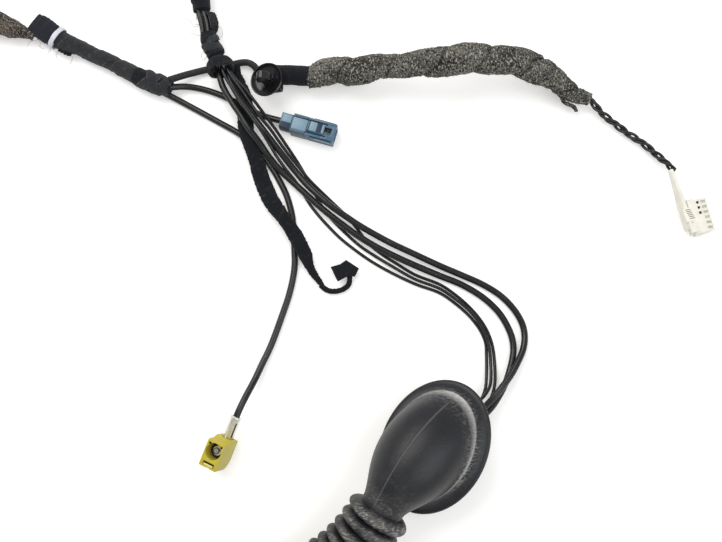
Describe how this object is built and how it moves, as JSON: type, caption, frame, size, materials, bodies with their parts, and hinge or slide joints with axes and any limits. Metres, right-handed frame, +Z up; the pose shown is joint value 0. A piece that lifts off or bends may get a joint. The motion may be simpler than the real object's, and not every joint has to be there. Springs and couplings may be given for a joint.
{
  "type": "vehicle wiring harness",
  "caption": "Vehicle wiring harness with a rubber bellows boot, taped and fleece wrapped branches, coaxial leads, connectors and a retainer clip.",
  "frame": {"origin": "on the surface that the harness lies on, under the middle of its rigid pieces' span", "axes": "+X along the longest span, from the left arm's plug to the fleece branch; +Z up"},
  "size_m": [0.431, 0.3584, 0.0407],
  "materials": {
    "rubber": "matt, scuffed on the ridge",
    "cable_jacket": "smooth, slightly glossy",
    "cloth_tape": "woven, matt",
    "fleece": "rough, speckled",
    "foam": "rough, brown grey",
    "black_plastic": "fine grained",
    "band": "satin",
    "white_plastic": "satin",
    "blue_plastic": "satin",
    "pale_blue_plastic": "satin",
    "yellow_plastic": "satin",
    "tin_plate": "plated, slightly dull",
    "insulator": "satin",
    "brass_plate": "plated"
  },
  "bodies": {
    "root": {"boot": "rubber", "coax_lower": "cable_jacket", "coax_upper": "cable_jacket", "wire_middle": "cable_jacket", "wire_right": "cable_jacket", "wire_outer": "cable_jacket", "bare_coax_left": "cable_jacket", "bare_coax_right": "cable_jacket", "bare_wire_left": "cable_jacket", "bare_wire_right": "cable_jacket", "coax_to_yellow": "cable_jacket", "coax_to_blue": "cable_jacket", "twisted_wire_a": "cable_jacket", "twisted_wire_b": "cable_jacket", "twisted_wire_c": "cable_jacket", "tail_bundle": "cloth_tape", "bundle_collar": "cloth_tape", "upper_tape_wrap": "cloth_tape", "top_tape_sleeve": "cloth_tape", "loose_tape_loop": "cloth_tape", "left_trunk_tape": "cloth_tape", "junction_tape": "cloth_tape", "left_tape_flag": "cloth_tape", "left_tail_tape": "cloth_tape", "clip_lead": "cloth_tape", "branch_tape": "cloth_tape", "spur_tape": "cloth_tape", "spur_lead": "cloth_tape", "spur_flag": "cloth_tape", "branch_foam": "fleece", "foam_curl": "fleece", "left_foam": "foam", "tail_connector": "black_plastic", "top_connector": "black_plastic", "left_connector": "black_plastic", "retainer_clip": "black_plastic", "white_band": "band", "white_connector_housing": "white_plastic", "white_connector_hood": "white_plastic", "blue_housing": "blue_plastic", "blue_lock": "pale_blue_plastic", "yellow_housing": "yellow_plastic", "white_terminal_a": "tin_plate", "white_terminal_b": "tin_plate", "white_terminal_c": "tin_plate", "blue_outer_contact": "tin_plate", "yellow_ferrule": "tin_plate", "yellow_outer_contact": "tin_plate", "blue_insulator": "insulator", "yellow_insulator": "insulator", "blue_centre_contact": "brass_plate", "yellow_centre_contact": "brass_plate"}
  },
  "joints": []
}
